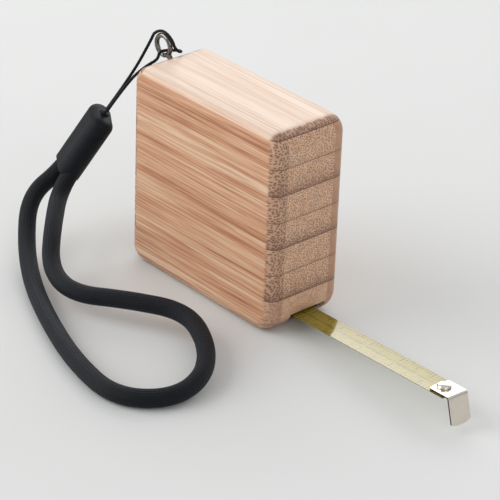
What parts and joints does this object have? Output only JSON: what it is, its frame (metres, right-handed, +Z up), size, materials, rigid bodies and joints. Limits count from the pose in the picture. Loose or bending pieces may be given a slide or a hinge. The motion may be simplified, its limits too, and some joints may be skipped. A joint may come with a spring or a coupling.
{
  "type": "pocket tape measure",
  "caption": "Small square tape measure in a bamboo case, with a pull-out steel tape, a riveted end hook, a screw eye and a braided wrist strap.",
  "frame": {"origin": "centre of the flat foot that the case stands on", "axes": "+X the way the tape leaves the case, Y through the case's thickness with the front cover at -Y, +Z up"},
  "size_m": [0.1276, 0.0677, 0.0558],
  "materials": {
    "bamboo": "satin",
    "dowel_wood": "matte",
    "white_plastic": "matte",
    "grey_plastic": "matte",
    "black_plastic": "matte",
    "steel": "satin",
    "tape": "gloss",
    "chrome": "polished",
    "felt": "matte",
    "cord": "matte"
  },
  "bodies": {
    "case": {"front_cover": "bamboo", "case_frame": "bamboo", "back_cover": "bamboo", "cover_dowels": "dowel_wood", "cartridge_tray": "white_plastic", "cartridge_lid": "white_plastic", "cartridge_screws": "steel", "centre_post": "steel", "reel_washer_front": "white_plastic", "reel_washer_back": "white_plastic", "power_spring": "steel", "tape_lead": "tape", "mouth_liner": "black_plastic", "felt_wiper": "felt", "screw_eye": "chrome", "strap_cord": "cord", "cord_knot": "cord", "strap_cap": "black_plastic", "wrist_rope": "cord"},
    "reel": {"reel_drum": "grey_plastic", "reel_flange": "grey_plastic", "spring_pin": "steel", "tape_coil": "tape"},
    "blade": {"tape_blade": "tape", "hook_rivet": "chrome"},
    "hook": {"end_hook": "chrome"}
  },
  "joints": [
    {"name": "blade_slide", "type": "slide", "parent": "case", "child": "blade", "axis": [0.9962, -0.0522, 0.0698], "range_m": [-0.0445, 0], "deforming": ["tape_blade", "tape_lead"]},
    {"name": "reel_spin", "type": "hinge", "parent": "case", "child": "reel", "pos_m": [0, 0, 0.025], "axis": [0, 1, 0], "range_deg": [0, 187], "deforming": ["power_spring"]},
    {"name": "hook_play", "type": "slide", "parent": "blade", "child": "hook", "axis": [0.9962, -0.0522, 0.0698], "range_m": [-0.0005, 0]}
  ],
  "couplings": [
    {"joint": "reel_spin", "follows": "blade_slide", "rad_per_m": -73}
  ]
}
